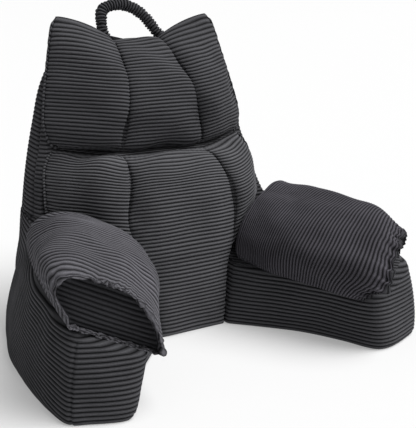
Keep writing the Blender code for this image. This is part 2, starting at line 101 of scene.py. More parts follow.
# How deep and wide a seam draws the cloth in, and how close to seams, foot and shelf the wales fade out.
ARM_SEAM_DEEP, ARM_SEAM_WIDE = 0.0042, 0.0030
STRIP_SEAM_DEEP, STRIP_SEAM_WIDE = 0.0030, 0.0028
SEAM_FADE, FOOT_FADE, SHELF_FADE = 0.004, 0.003, 0.010
# The right arm's cloth stands out beside its front seam.
SEAM_FULL, SEAM_FULL_REACH = 0.0050, 0.016
# Soft hills in the cloth, which are full from this height up.
HILL_LENGTH, HILL_DEEP, HILL_RISE = 0.16, 0.0028, 0.05
FACE_PRESSED_IN = 0.0006


def ramp(value, start, length):
    """0 up to start, then rising evenly to 1 over this length."""
    return np.clip((value - start) / length, 0, 1)


def smooth_through(rows, at):
    """A table read at these values of its first column, along a smooth curve through its rows."""
    rows = np.array(rows, float)
    at = np.atleast_1d(np.array(at, float))
    key = rows[:, 0]
    here = np.clip(np.searchsorted(key, at, side="left") - 1, 0, len(key) - 2)
    before = np.maximum(here - 1, 0)
    after = np.minimum(here + 2, len(key) - 1)
    span = key[here + 1] - key[here]
    part = ramp(at, key[here], span)[:, None]
    start, end = rows[here, 1:], rows[here + 1, 1:]
    slope_in = (end - rows[before, 1:]) * (span / (key[here + 1] - key[before]))[:, None]
    slope_out = (rows[after, 1:] - start) * (span / (key[after] - key[here]))[:, None]
    cubic = 2 * start - 2 * end + slope_in + slope_out
    square = 3 * (end - start) - 2 * slope_in - slope_out
    return ((cubic * part + square) * part + slope_in) * part + start


def face_y(z):
    """How far back the face behind the cushions lies at this height."""
    return FACE_FOOT_Y + FACE_LEAN * z


def rest_z(x, y):
    """Height of the arms' sloping top, on which the pads rest."""
    return REST_Z + REST_SLOPE_X * x + REST_SLOPE_Y * y


def wale_rows(count):
    """Wale counts of the rows of points, six to a wale and closest together in the grooves."""
    return np.append((np.arange(count)[:, None] + ROW_STEPS).ravel(), count)


def relief(count):
    """How far a row of points stands out or in at this wale count: a round ridge and a narrow groove."""
    ridge = 1 - np.abs(2 * (count % 1) - 1) ** RIDGE_SHAPE
    return (RIDGE_OUT + GROOVE_IN) * ridge - GROOVE_IN


def outward(place, turn):
    """Unit normals of a grid of points, columns running sideways and rows running up."""
    normal = np.cross(np.gradient(place, axis=1), np.gradient(place, axis=0)) * turn
    return normal / (np.linalg.norm(normal, axis=2, keepdims=True) + 1e-12)


def lengths(path):
    """How far along a path each of its points lies."""
    return np.append(0, np.cumsum(np.linalg.norm(np.diff(path, axis=0), axis=1)))


def row_lengths(grid):
    return np.array([lengths(row) for row in grid])


def read_path(at, keys, path):
    """Points on a path, read at these values of its keys."""
    return np.stack([np.interp(at, keys, path[:, axis]) for axis in range(path.shape[1])], axis=1)


def even(path, count, crowd=1.0):
    """count points along a path, at even steps or, where crowd is over 1, closer together near its start."""
    gone = lengths(path)
    return read_path(gone[-1] * np.linspace(0, 1, count) ** crowd, gone, path)


def wale_coords(along, count):
    """A grid's wale coordinates: how far each point is along its wale, in wales, and its wale count."""
    return np.stack([along / WALE, np.broadcast_to(count, along.shape)], axis=2)


def waves(place, size, seed):
    """A soft uneven field between about -1 and 1, with hills about this far apart."""
    numbers = np.random.default_rng(seed)
    total = np.zeros(place.shape[:-1])
    for _ in range(9):
        way = numbers.normal(size=3)
        way *= numbers.uniform(0.6, 1.6) / np.linalg.norm(way)
        total += np.sin(2 * math.pi * (place @ way) / size + numbers.uniform(0, 6.3))
    return total / 3


def grid_faces(high, wide):
    """The faces of a grid of points, as numbers of their corners."""
    index = np.arange(high * wide).reshape(high, wide)
    return np.stack([index[:-1, :-1], index[:-1, 1:], index[1:, 1:], index[1:, :-1]], axis=-1).reshape(-1, 4)


def sewn(name, grids, smooth_angle=70):
    """A closed piece from grids of points and their wale coordinates: edges joined and holes filled."""
    mesh = bpy.data.meshes.new(name)
    points, faces, loops = [], [], []
    base = 0
    for place, coords in grids:
        high, wide = place.shape[:2]
        points.append(place.reshape(-1, 3))
        faces.append(base + grid_faces(high, wide))
        loops.append(coords.reshape(-1, 2))
        base += high * wide
    points = np.concatenate(points) + CENTRE_SHIFT
    faces = np.concatenate(faces)
    coords = np.concatenate(loops)
    mesh.from_pydata(points.tolist(), [], faces.tolist())
    layer = mesh.uv_layers.new(name="wales")
    layer.data.foreach_set("uv", coords[faces.ravel()].ravel().astype(np.float32))
    cloth = bmesh.new()
    cloth.from_mesh(mesh)
    bmesh.ops.remove_doubles(cloth, verts=cloth.verts, dist=JOIN_WITHIN)
    filled_in = bmesh.ops.holes_fill(cloth, edges=[edge for edge in cloth.edges if edge.is_boundary], sides=0)
    wales = cloth.loops.layers.uv.active
    for face in filled_in["faces"]:
        for corner in face.loops:
            corner[wales].uv = corner.vert.co.xy / WALE
    bmesh.ops.triangulate(cloth, faces=[face for face in cloth.faces if len(face.verts) > 4])
    bmesh.ops.recalc_face_normals(cloth, faces=cloth.faces)
    cloth.to_mesh(mesh)
    cloth.free()
    piece = bpy.data.objects.new(name, mesh)
    bpy.context.scene.collection.objects.link(piece)
    bpy.ops.object.select_all(action="DESELECT")
    bpy.context.view_layer.objects.active = piece
    piece.select_set(True)
    bpy.ops.object.shade_smooth_by_angle(angle=math.radians(smooth_angle))
    piece.select_set(False)
    return piece


def linear(colour):
    """An sRGB hex colour as linear light."""
    channels = [int(colour[i:i + 2], 16) / 255 for i in (1, 3, 5)]
    return [c / 12.92 if c <= 0.04045 else ((c + 0.055) / 1.055) ** 2.4 for c in channels] + [1.0]


def add_node(tree, kind, links=(), **settings):
    """A node with its settings. links gives pairs of an input and a value, a socket or another node."""
    made = tree.nodes.new("ShaderNode" + kind)
    for name, value in settings.items():
        setattr(made, name, value)
    for socket, value in links:
        if isinstance(value, bpy.types.Node):
            value = value.outputs[0]
        if isinstance(value, bpy.types.NodeSocket):
            tree.links.new(value, made.inputs[socket])
        else:
            made.inputs[socket].default_value = value
    return made


# Hills to the metre in the cloth's patterns: the wander of a wale's edge, and tufts about 1.5 mm long.
WANDER_SCALE, TUFT_SCALE = 45.0, 650.0


def corduroy(name, pile, groove, shade_scale):
    """Wide-wale polyester corduroy, cut pile: matt, a soft grey bloom on the ridges, and near black in the
    grooves, partly the bare ground weave and partly painted shade.
    """
    made = bpy.data.materials.new(name)
    made.use_nodes = True
    tree = made.node_tree
    shader = tree.nodes["Principled BSDF"]
    wales = add_node(tree, "UVMap", uv_map="wales")
    parts = add_node(tree, "SeparateXYZ", [(0, wales)])
    place = add_node(tree, "TexCoord").outputs["Object"]
    # A slow wander keeps the grooves from looking ruled.
    wander = add_node(tree, "TexNoise", [("Vector", place), ("Scale", WANDER_SCALE), ("Detail", 2.0)])
    drift = add_node(tree, "Math", [(0, wander), (1, 0.14), (2, -0.07)], operation="MULTIPLY_ADD")
    count = add_node(tree, "Math", [(0, parts.outputs["Y"]), (1, drift)], operation="ADD")
    part = add_node(tree, "Math", [(0, count)], operation="FRACT")
    centred = add_node(tree, "Math", [(0, part), (1, 2.0), (2, -1.0)], operation="MULTIPLY_ADD")
    away = add_node(tree, "Math", [(0, centred)], operation="ABSOLUTE")
    steep = add_node(tree, "Math", [(0, away), (1, 1.25)], operation="POWER")
    ridge = add_node(tree, "Math", [(0, 1.0), (1, steep)], operation="SUBTRACT", use_clamp=True)
    # Tufts of pile lie across the wale, and broad patches of it are brushed another way.
    tufts = add_node(tree, "TexNoise", [("Vector", place), ("Scale", TUFT_SCALE), ("Detail", 3.0),
                                        ("Roughness", 0.7)])
    patches = add_node(tree, "TexNoise", [("Vector", place), ("Scale", shade_scale), ("Detail", 3.0)])
    # The groove colour is near black: partly the ground weave showing, partly painted shade in the hollow
    # between wales.
    colour = add_node(tree, "Mix", [("Factor", ridge), ("A", linear(groove)), ("B", linear(pile))],
                      data_type="RGBA")
    spread = [("From Min", 0.3), ("From Max", 0.7)]
    speckle = add_node(tree, "MapRange", [("Value", tufts), *spread, ("To Min", 0.72), ("To Max", 1.28)])
    brushed = add_node(tree, "MapRange", [("Value", patches), *spread, ("To Min", 0.86), ("To Max", 1.14)])
    both = add_node(tree, "Math", [(0, speckle), (1, brushed)], operation="MULTIPLY")
    shaded = add_node(tree, "Mix", [("Factor", 1.0), ("A", colour.outputs["Result"]), ("B", both)],
                      data_type="RGBA", blend_type="MULTIPLY")
    height = add_node(tree, "Math", [(0, tufts), (1, 0.35), (2, ridge)], operation="MULTIPLY_ADD")
    bump = add_node(tree, "Bump", [("Height", height), ("Strength", 0.85), ("Distance", 0.0014)])
    tree.links.new(shaded.outputs["Result"], shader.inputs["Base Color"])
    tree.links.new(bump.outputs[0], shader.inputs["Normal"])
    for socket, value in (("Roughness", 0.92), ("Specular IOR Level", 0.12), ("IOR", 1.5),
                          ("Sheen Weight", 0.06), ("Sheen Roughness", 0.45),
                          ("Sheen Tint", linear("#c9c9d2"))):
        shader.inputs[socket].default_value = value
    return made


def arm_wall(columns, z, side):
    """Points of the arm's wall at this height: upright to the brow, then rounding in to the rim."""
    data = smooth_through(ARM_WALL, columns)
    foot_x, foot_y, brow_x, brow_y, drop, rim_x, rim_y, slim = data.T
    slim = slim if side < 0 else 0 * slim
    brow_z = rest_z(rim_x + 0.5 * slim, rim_y) - drop
    share = np.minimum(z / brow_z, 1)
    over = ramp(z, brow_z, drop)
    out_x, out_y = brow_x - rim_x, brow_y - rim_y
    length = np.hypot(out_x, out_y) + 1e-9
    tuck = FOOT_TUCK * max(1 - z / FOOT_TUCK_HEIGHT, 0) ** 2
    push = (WALL_SWELL * np.sin(math.pi * share) - tuck) / length - over ** 1.5
    if side > 0:
        slim = -LEFT_SLIM * np.exp(-((columns - LEFT_SLIM_AT) / LEFT_SLIM_WIDE) ** 2)
    x = foot_x + (brow_x - foot_x) * share + out_x * push + slim * (1 - 0.5 * share)
    y = foot_y + (brow_y - foot_y) * share + out_y * push
    return np.stack([x, y], axis=1)


def rim_height(columns, side):
    """Height of the arm's rim at these columns, where its wall meets its sloping top."""
    data = smooth_through(ARM_WALL, columns)
    slim = data[:, 7] if side < 0 else 0
    return rest_z(data[:, 5] + 0.5 * slim, data[:, 6])


def back_outline(z):
    """Half of the back's section: along the front face and round the side, and where the back panel lies."""
    half_width = smooth_through(BACK_WIDTHS, z)[0, 0]
    over = max(z - (TOP_Z - TOP_ROUND), 0) / TOP_ROUND
    rounding = TOP_ROUND * (1 - math.sqrt(max(1 - over * over, 0)))
    front = face_y(z) + 0.9 * rounding
    rear = BACK_FOOT_Y + BACK_LEAN * z - 0.9 * rounding
    depth = rear - front
    corner = min(REAR_CORNER, 0.5 * depth)
    inset = np.interp(z, INSET_HEIGHTS, INSETS)
    # place in the line, x, y
    knots = (
        (0, half_width - 0.004 - inset, front),
        (0.4, half_width - 0.0006 - inset, front + 0.0016),
        (1, half_width - 0.6 * inset, front + min(0.014, 0.25 * depth)),
        (2, half_width + 0.002, front + 0.45 * depth),
        (3, half_width - 0.40 * corner, rear - 0.72 * corner),
        (4, half_width - 1.15 * corner, rear - 0.12 * corner),
    )
    side = smooth_through(knots, np.linspace(0, 4, 49))
    return np.concatenate([[(0, front)], side]), rear


def stood_up(flat, heights, side):
    """Rows of points on the floor plan, each raised to its height, on this side of the middle."""
    place = np.concatenate([flat, np.broadcast_to(heights[:, None, None], flat.shape[:2] + (1,))], axis=2)
    place[..., 0] *= side
    return place


# Points in each stretch of a row, from the middle of the face round to the middle of the back.
FACE_POINTS, PATH_POINTS, FRONT_POINTS, OUTER_POINTS, REAR_POINTS = 8, 52, 24, 70, 14
# The strip beside the cushions has the first so many of the path's points, and level wales.
STRIP_POINTS = 16
SHELF_POINTS = 20
WALL_LEFT = FACE_POINTS + PATH_POINTS
# How much closer together the points lie where a stretch starts.
PATH_CROWD, FRONT_CROWD = 1.5, 1.6
OUTER_SAMPLES, FRONT_SAMPLES, INNER_SAMPLES = 160, 60, 120
FINE_COLUMNS = np.linspace(REAR_COLUMN, CROTCH_COLUMN, 8 * (CROTCH_COLUMN - REAR_COLUMN) + 1)


def casing_half(side):
    """The panels of the casing's left half, side 1, or right half, side -1, and its shelf under the pad."""
    straight = (TOP_Z - TOP_ROUND) / WALE
    counts = wale_rows(int(straight + 0.5 * math.pi * TOP_ROUND / WALE))
    bend = np.minimum((counts - straight) * WALE / TOP_ROUND, math.pi / 2)
    heights = np.where(counts <= straight, counts * WALE, TOP_Z - TOP_ROUND + TOP_ROUND * np.sin(bend))
    walls, shelves, distances = [], [], []
    shelf_top = rim_height([REAR_COLUMN], side)[0]
    lowest = rim_height([LOWEST_RIM], side)[0]
    inner_top = rim_height([CROTCH_COLUMN], side)[0]
    rims = rim_height(FINE_COLUMNS, side)
    half = np.searchsorted(FINE_COLUMNS, LOWEST_RIM)
    for z in heights:
        outline, rear = back_outline(z)
        crotch_x = CROTCH_FOOT_X + (CROTCH_TOP_X - CROTCH_FOOT_X) * z / CROTCH_TOP_Z
        crotch = np.array([crotch_x, face_y(z)])
        if z < shelf_top:
            outer_edge = LOWEST_RIM
            if z > lowest:
                outer_edge = np.interp(-z, -rims[:half], FINE_COLUMNS[:half])
            seam = min(SEAM_COLUMN, outer_edge)
            outer = arm_wall(np.linspace(seam, REAR_COLUMN, OUTER_SAMPLES), z, side)
            front = arm_wall(np.linspace(outer_edge, seam, FRONT_SAMPLES), z, side)
            if z < CROTCH_TOP_Z:
                inner_edge = np.interp(z, rims[half:], FINE_COLUMNS[half:])
                wall = arm_wall(np.linspace(CROTCH_COLUMN, inner_edge, INNER_SAMPLES), z, side)
                if z > inner_top:
                    share = (z - inner_top) / (CROTCH_TOP_Z - inner_top)
                    wall = wall[:1] + (crotch - wall[:1]) * share
                path = np.concatenate([crotch[None], wall])
                start = crotch
            else:
                free = rest_z(outline[:, 0], outline[:, 1]) < z
                last = len(outline) - 1 if free.all() else int(np.argmin(free))
                near, far = outline[last - 1], outline[last]
                low, high = rest_z(*near), rest_z(*far)
                meet = near + (far - near) * np.clip((z - low) / (high - low + 1e-9), 0, 1)
                path = np.concatenate([outline[:last], [meet]])
            corner = outer[-1]
        else:
            path = outline
            corner = outline[-1]
            outer = front = np.repeat(corner[None], 2, axis=0)
        if z >= CROTCH_TOP_Z:
            start = path[1]
            path = path[1:] if len(path) > 2 else np.repeat(start[None], 2, axis=0)
        face = np.linspace((0, face_y(z)), start, FACE_POINTS, endpoint=False)
        path = np.concatenate([face, even(path, PATH_POINTS, PATH_CROWD)])
        shelves.append(np.linspace(path[-1], front[0], SHELF_POINTS))
        front = even(front[::-1], FRONT_POINTS, FRONT_CROWD)[::-1]
        outer = even(outer, OUTER_POINTS, PATH_CROWD)
        rear_path = np.linspace(corner, (0, rear), REAR_POINTS + 1)[1:]
        walls.append(np.concatenate([path, front, outer, rear_path]))
        # The distance of each point from the shelf's edge, or a metre in a row that has none.
        if z <= lowest or z >= shelf_top:
            distances.append(np.ones(len(walls[-1])))
        else:
            gone = lengths(path)
            distances.append(np.concatenate([gone[-1] - gone, lengths(walls[-1][WALL_LEFT:])]))
    flat = np.array(walls)
    place = stood_up(flat, heights, side)
    normal = outward(place, side)
    off_shelf = ramp(np.array(distances), 0, SHELF_FADE)
    along = row_lengths(flat)
    strip_at = FACE_POINTS + STRIP_POINTS
    seam_at = WALL_LEFT + FRONT_POINTS
    rear_at = seam_at + OUTER_POINTS - 1
    on_back = heights > CROTCH_TOP_Z
    # The side panel's wales run down towards the front, so that they meet its neighbours' in a chevron.
    seam_y = np.array([arm_wall(np.array([SEAM_COLUMN]), z, side)[0, 1] for z in heights])[:, None]
    slanted = (heights[:, None] - SIDE_SLANT * (flat[..., 1] - seam_y)) / WALE
    on_side = np.zeros(flat.shape[:2], bool)
    on_side[:, seam_at:rear_at + 1] = True
    on_side[on_back, strip_at:WALL_LEFT] = True
    count = np.where(on_side, slanted, counts[:, None])
    off_strip = np.abs(along - along[:, strip_at:strip_at + 1])
    off_rear = np.abs(along - along[:, rear_at:rear_at + 1])
    seams = np.where(on_back[:, None], ramp(off_strip, 0, SEAM_FADE), 1) * ramp(off_rear, 0, SEAM_FADE)
    amount = relief(count) * seams * off_shelf * ramp(heights, 0, FOOT_FADE)[:, None]
    # The seam down the arm's outer front corner, where the two panels are drawn in.
    off_seam = np.abs(along - along[:, seam_at:seam_at + 1])
    below_rim = (heights < 0.9 * rim_height([SEAM_COLUMN], side)[0])[:, None]
    full = (SEAM_FULL if side < 0 else 0.0) * np.exp(-off_seam / SEAM_FULL_REACH)
    amount += (full - ARM_SEAM_DEEP * np.exp(-(off_seam / ARM_SEAM_WIDE) ** 2)) * below_rim
    # The seam up the outer edge of the strip beside the cushions.
    amount -= STRIP_SEAM_DEEP * np.exp(-(off_strip / STRIP_SEAM_WIDE) ** 2) * on_back[:, None]
    soft = waves(place, HILL_LENGTH, 5) * HILL_DEEP * ramp(heights, 0, HILL_RISE)[:, None] * off_shelf
    # The face behind the cushions is pressed flat.
    amount[:, :FACE_POINTS] = -FACE_PRESSED_IN
    soft[:, :FACE_POINTS] = 0
    place = place + normal * (amount + soft)[..., None]
    place[..., 2] = np.maximum(place[..., 2], 0)
    closed = heights >= shelf_top
    place[closed, WALL_LEFT:rear_at + 1] = place[closed, WALL_LEFT - 1:WALL_LEFT]
    coords = wale_coords(along, count)
    level = wale_coords(along, counts[:, None])

    rows = np.where((heights > lowest) & (heights < shelf_top))[0]
    rows = np.arange(rows[0] - 1, rows[-1] + 2)
    shelf = stood_up(np.array(shelves)[rows], heights[rows], side)
    shelf[:, 0] = place[rows, WALL_LEFT - 1]
    shelf[:, -1] = place[rows, WALL_LEFT]
    shelf[-1] = place[rows[-1], WALL_LEFT]
    slope = math.hypot(REST_SLOPE_X, REST_SLOPE_Y)
    across = (heights[rows] / math.sin(math.atan(slope)) / WALE)[:, None]
    shelf_width = np.linalg.norm(shelf[:, -1] - shelf[:, 0], axis=1)[:, None]
    shelf_along = np.linspace(0, 1, SHELF_POINTS) * shelf_width
    # The wall's grid is open where the shelf begins, and each panel keeps its own wales up to its seams.
    return [
        (place[:, :strip_at + 1], level[:, :strip_at + 1]),
        (place[:, strip_at:WALL_LEFT], coords[:, strip_at:WALL_LEFT]),
        (place[:, WALL_LEFT:rear_at + 1], coords[:, WALL_LEFT:rear_at + 1]),
        (place[:, rear_at:], level[:, rear_at:]),
        (shelf, wale_coords(shelf_along, across)),
    ]


casing = sewn("casing_cover", casing_half(1) + casing_half(-1), 60)
# The casing's cloth is painted darker than the cushions': painted shade for its arms and sides, as all are
# one cloth.
casing.data.materials.append(corduroy("casing_corduroy", "#4e4e51", "#020203", 7.0))
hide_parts("body")
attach(casing, "root")

# --------------------------------------------------------------------------------------------------
# The two back cushions: a lumbar one and a head one, each quilted into three upright channels over
# soft fibre. A narrow, puckered roll of piping closes each side edge. Their backs lie on the casing.

# The plane on which the two meet, and how far clear of it and of the casing each of them stays.
SPLIT_Y, SPLIT_Z, SPLIT_SLOPE = 0.085, 0.390, 0.27
CUSHION_GAP = 0.0004

# share of the height, seam x y z, edge x y z, crown, side crown, lift
HEAD_ROWS = (
    (0.00, 0.105, 0.090, 0.392, 0.226, 0.141, 0.405, 0.000, 0.000, 0),
    (0.06, 0.102, 0.078, 0.404, 0.241, 0.144, 0.417, 0.012, 0.018, 0),
    (0.20, 0.096, 0.075, 0.440, 0.249, 0.153, 0.455, 0.020, 0.030, 0),
    (0.40, 0.085, 0.078, 0.495, 0.241, 0.168, 0.508, 0.024, 0.034, 0),
    (0.60, 0.077, 0.100, 0.545, 0.229, 0.180, 0.560, 0.024, 0.034, 0),
    (0.80, 0.067, 0.150, 0.588, 0.216, 0.192, 0.613, 0.020, 0.028, 0.002),
    (0.93, 0.060, 0.195, 0.615, 0.205, 0.207, 0.655, 0.014, 0.018, 0.008),
    (1.00, 0.057, 0.217, 0.624, 0.191, 0.217, 0.681, 0.004, 0.004, 0.012),
)
LUMBAR_ROWS = (
    (0.00, 0.079, -0.054, 0.001, 0.082, 0.030, 0.001, 0.000, 0.000, 0),
    (0.12, 0.088, -0.047, 0.054, 0.091, 0.045, 0.054, 0.010, 0.000, 0),
    (0.24, 0.097, -0.041, 0.104, 0.099, 0.058, 0.104, 0.018, 0.000, 0),
    (0.33, 0.106, -0.032, 0.143, 0.105, 0.070, 0.144, 0.023, 0.000, 0),
    (0.36, 0.112, -0.029, 0.156, 0.108, 0.074, 0.163, 0.024, 0.000, 0),
    (0.38, 0.115, -0.027, 0.164, 0.124, 0.078, 0.181, 0.025, 0.000, 0),
    (0.40, 0.118, -0.026, 0.173, 0.165, 0.086, 0.203, 0.026, 0.003, 0),
    (0.44, 0.125, -0.021, 0.190, 0.228, 0.095, 0.234, 0.028, 0.010, 0),
    (0.48, 0.129, -0.017, 0.208, 0.262, 0.100, 0.252, 0.028, 0.018, 0),
    (0.60, 0.136, -0.010, 0.258, 0.271, 0.106, 0.274, 0.030, 0.032, 0),
    (0.74, 0.127, -0.005, 0.314, 0.268, 0.117, 0.322, 0.032, 0.036, 0),
    (0.86, 0.115, 0.017, 0.350, 0.262, 0.127, 0.362, 0.034, 0.036, 0),
    (0.95, 0.108, 0.046, 0.376, 0.248, 0.135, 0.388, 0.024, 0.024, 0),
    (1.00, 0.105, 0.078, 0.386, 0.236, 0.140, 0.400, 0.000, 0.000, 0),
)
HEAD_WALES, LUMBAR_WALES = 34, 52
HEAD_SWAY = 0.006
CHANNEL_POINTS, BACK_POINTS = 33, 49
# The simulated filling, and the furthest that it may move a point.
FILL_FRAMES, FILL_MOST = 20, 0.0030
CLOTH = dict(quality=6, mass=0.3, tension_stiffness=40, compression_stiffness=25, bending_stiffness=0.8,
             vertex_group_mass="held", use_pressure=True, uniform_pressure_force=4)
# The stitched seams, and how many wales each of their puckers takes.
STITCH_DEEP, STITCH_WIDE, STITCH_WALES = 0.0020, 0.0045, 2.3
# The gathers beside the side edges.
GATHER_DEEP, GATHER_FROM, GATHER_REACH, GATHER_WALES = 0.0022, 0.003, 0.014, 2.6
# The puckers where the two cushions are sewn together.
PUCKER_DEEP, PUCKER_LENGTH = 0.0016, 0.013
# Soft hills, and how close to the ends and the side edges the wales fade out.
SWELL_LENGTH, SWELL_DEEP, SWELL_FADE = 0.11, 0.0032, 0.03
END_FADE_WALES, EDGE_FADE = 0.6, 0.008
# The piping, and the angles of the points round it.
BEAD = 0.0036
BEAD_TURNS = np.radians([160, 130, 95, 60, 25, -10, -45, -90])


def quilt_front(table, shares, across, side):
    """Points of the front of half a cushion, rows by columns, before relief."""
    data = smooth_through(table, shares)[:, None, :]
    seam_x, seam_y, seam_z, edge_x, edge_y, edge_z, crown, side_crown, lift = np.moveaxis(data, 2, 0)
    across = across[None, :]
    inner = np.minimum(across, 1)
    share = np.maximum(across - 1, 0)
    bow = np.sqrt(np.maximum(1 - inner ** 2.2, 0))
    swell = crown * bow
    x_in, y_in, z_in = seam_x * inner, seam_y - swell, seam_z + 0.25 * swell + 0.4 * lift * bow
    side_bow = np.maximum(np.sin(math.pi * share ** 0.8), 0) ** 0.7
    side_swell = side_crown * side_bow
    x_out = seam_x + (edge_x - seam_x) * share
    y_out = seam_y + (edge_y - seam_y) * share ** 1.3 - side_swell
    z_out = seam_z + (edge_z - seam_z) * share + 0.15 * side_swell + lift * side_bow
    middle = across <= 1
    return np.stack([side * np.where(middle, x_in, x_out), np.where(middle, y_in, y_out),
                     np.where(middle, z_in, z_out)], axis=2)


def filled(place, held, every, turn):
    """How the filling presses a grid of cloth out between its held points: simulated air pressure on every
    so many rows and columns of it, carried back to the whole grid."""
    high, wide = place.shape[:2]
    rows = np.unique(np.append(np.arange(0, high, every[0]), high - 1))
    columns = np.unique(np.append(np.arange(0, wide, every[1]), wide - 1))
    coarse = place[np.ix_(rows, columns)]
    mesh = bpy.data.meshes.new("cloth_cage")
    faces = grid_faces(*coarse.shape[:2])[:, ::turn]
    mesh.from_pydata(coarse.reshape(-1, 3).tolist(), [], faces.tolist())
    cage = bpy.data.objects.new("cloth_cage", mesh)
    bpy.context.scene.collection.objects.link(cage)
    group = cage.vertex_groups.new(name="held")
    group.add(np.flatnonzero(held[np.ix_(rows, columns)]).tolist(), 1.0, "REPLACE")
    cloth = cage.modifiers.new("Cloth", "CLOTH")
    for setting, value in CLOTH.items():
        setattr(cloth.settings, setting, value)
    cloth.settings.effector_weights.gravity = 0
    cloth.collision_settings.use_collision = False
    cloth.point_cache.frame_start = 1
    cloth.point_cache.frame_end = FILL_FRAMES
    for frame_number in range(1, FILL_FRAMES + 1):
        bpy.context.scene.frame_set(frame_number)
    settled = cage.evaluated_get(bpy.context.evaluated_depsgraph_get()).data
    points = np.empty(len(settled.vertices) * 3)
    settled.vertices.foreach_get("co", points)
    move = points.reshape(coarse.shape) - coarse
    bpy.context.scene.frame_set(1)
    bpy.data.objects.remove(cage)
    move *= np.minimum(1, FILL_MOST / (np.linalg.norm(move, axis=2, keepdims=True) + 1e-9))
    spread = np.stack([read_path(np.arange(wide), columns, row) for row in move])
    return np.stack([read_path(np.arange(high), rows, spread[:, column]) for column in range(wide)], axis=1)


def quilted(name, table, wales, sway, top_is_split, bead_from, seed):
    """A cushion cover: a front of three channels, a back on the casing, and piping down each side from
    bead_from of its height up. top_is_split: it meets the other cushion at its top, not at its foot."""
    counts = wale_rows(wales)
    shares = counts / wales
    middle = 0.5 - 0.5 * np.cos(np.linspace(0, math.pi, CHANNEL_POINTS))
    half = np.concatenate([[0], 2 * middle[CHANNEL_POINTS // 2 + 1:-1] - 1, 1 + middle])
    left = quilt_front(table, shares, half, 1)
    right = quilt_front(table, shares, half[::-1], -1)
    place = np.concatenate([right, left[:, 1:]], axis=1)
    place[..., 0] += sway * shares[:, None] ** 2
    seam_columns = (CHANNEL_POINTS - 1, len(place[0]) - CHANNEL_POINTS)
    split_row = -1 if top_is_split else 0
    gap = -CUSHION_GAP if top_is_split else CUSHION_GAP

    def split(points):
        points[..., 2] = SPLIT_Z + SPLIT_SLOPE * (points[..., 1] - SPLIT_Y) + gap

    split(place[split_row])
    # The height at which the plane between the cushions reaches the casing.
    split_back = SPLIT_Z + SPLIT_SLOPE * (FACE_FOOT_Y - CUSHION_GAP - SPLIT_Y) + gap
    split_back = split_back / (1 - SPLIT_SLOPE * FACE_LEAN)
    for edge in (0, -1):
        place[split_row, edge, 2] = split_back
        place[:, edge, 1] = face_y(place[:, edge, 2]) - CUSHION_GAP
    held = np.zeros(place.shape[:2], bool)
    held[[0, -1]] = True
    held[:, [0, 1, 2, *seam_columns, -3, -2, -1]] = True
    place += filled(place, held, (6, 2), 1)
    normal = outward(place, 1)
    along = row_lengths(place)
    ends = ramp(np.minimum(shares, 1 - shares) * wales, 0, END_FADE_WALES)[:, None]
    off_edge = np.minimum(along, along[:, -1:] - along)
    amount = relief(counts)[:, None] * ends * ramp(off_edge, 0, EDGE_FADE)
    # The wales pinch together where the channels are stitched down, in short soft puckers.
    for seam in seam_columns:
        off_seam = np.abs(along - along[:, seam:seam + 1])
        pucker = 1 + 0.5 * np.sin(2 * math.pi * counts / STITCH_WALES + seed)[:, None]
        amount -= STITCH_DEEP * pucker * np.exp(-(off_seam / STITCH_WIDE) ** 2) * ends
    gather = np.exp(-off_edge / GATHER_REACH) * (1 - np.exp(-off_edge / GATHER_FROM))
    amount += GATHER_DEEP * gather * np.sin(2 * math.pi * counts / GATHER_WALES + seed)[:, None] * ends
    amount += SWELL_DEEP * waves(place, SWELL_LENGTH, seed) * ends * ramp(off_edge, 0, SWELL_FADE)
    # Small puckers where the two cushions are sewn together.
    to_split = (1 - shares if top_is_split else shares) * wales
    near_split = (np.exp(-to_split / 1.2) * ramp(to_split, 0, 0.4))[:, None]
    phase = 2 * math.pi * along / PUCKER_LENGTH + 2 * np.sin(along / 0.03)
    amount += PUCKER_DEEP * np.sin(phase) * near_split
    front = place + normal * amount[..., None]
    split(front[split_row, 1:-1])

    # The piping lies on the casing outside each edge. It swells and narrows, and tapers at its ends.
    ahead = np.array([0.0, -1.0, FACE_LEAN]) / math.hypot(1, FACE_LEAN)
    uneven = np.sin(2 * math.pi * counts / 2.9 + seed) + 0.7 * np.sin(2 * math.pi * counts / 1.83 + 2 * seed)
    size = BEAD * (1 + 0.07 * uneven) + 0.15 * relief(counts)
    size = size * np.clip((shares - bead_from) / 0.05, 0.05, 1) * np.clip((1 - shares) / 0.04, 0.15, 1)
    outwards = (0.7 * size[:, None] * (1 + np.cos(BEAD_TURNS)))[..., None]
    forwards = (0.8 * size[:, None] * (1 + np.sin(BEAD_TURNS)))[..., None]
    beads = []
    for edge, side in ((0, -1), (-1, 1)):
        out = np.cross(np.gradient(front[:, edge], axis=0), ahead)
        out *= side * np.sign(out[:, :1]) / (np.linalg.norm(out, axis=1, keepdims=True) + 1e-9)
        out = np.where(np.abs(out[:, :1]) < 0.2, (side, 0, 0), out)
        beads.append(front[:, edge, None] + outwards * out[:, None] + forwards * ahead)
    front = np.concatenate([beads[0][:, ::-1], front, beads[1]], axis=1)
    along = row_lengths(front)
    back = np.linspace(front[:, 0], front[:, -1], BACK_POINTS, axis=1)
    if not top_is_split:
        # Above the casing the head cushion's back is free, and rises to meet the front at the scalloped top.
        top = read_path(np.linspace(0, 1, BACK_POINTS), along[-1] / along[-1, -1], front[-1])
        back = back + (top[None] - back[-1:]) * shares[:, None, None] ** 6
    back[..., 1] = face_y(back[..., 2]) - CUSHION_GAP
    if not top_is_split:
        rise = ramp(shares, 0.9, 0.1)[:, None, None]
        back = back * (1 - rise) + top[None] * rise
    back[split_row, :, 2] = split_back
    back[split_row, :, 1] = face_y(split_back) - CUSHION_GAP
    back[:, 0], back[:, -1] = front[:, 0], front[:, -1]
    return sewn(name, [(grid, wale_coords(row_lengths(grid), counts[:, None])) for grid in (front, back)])


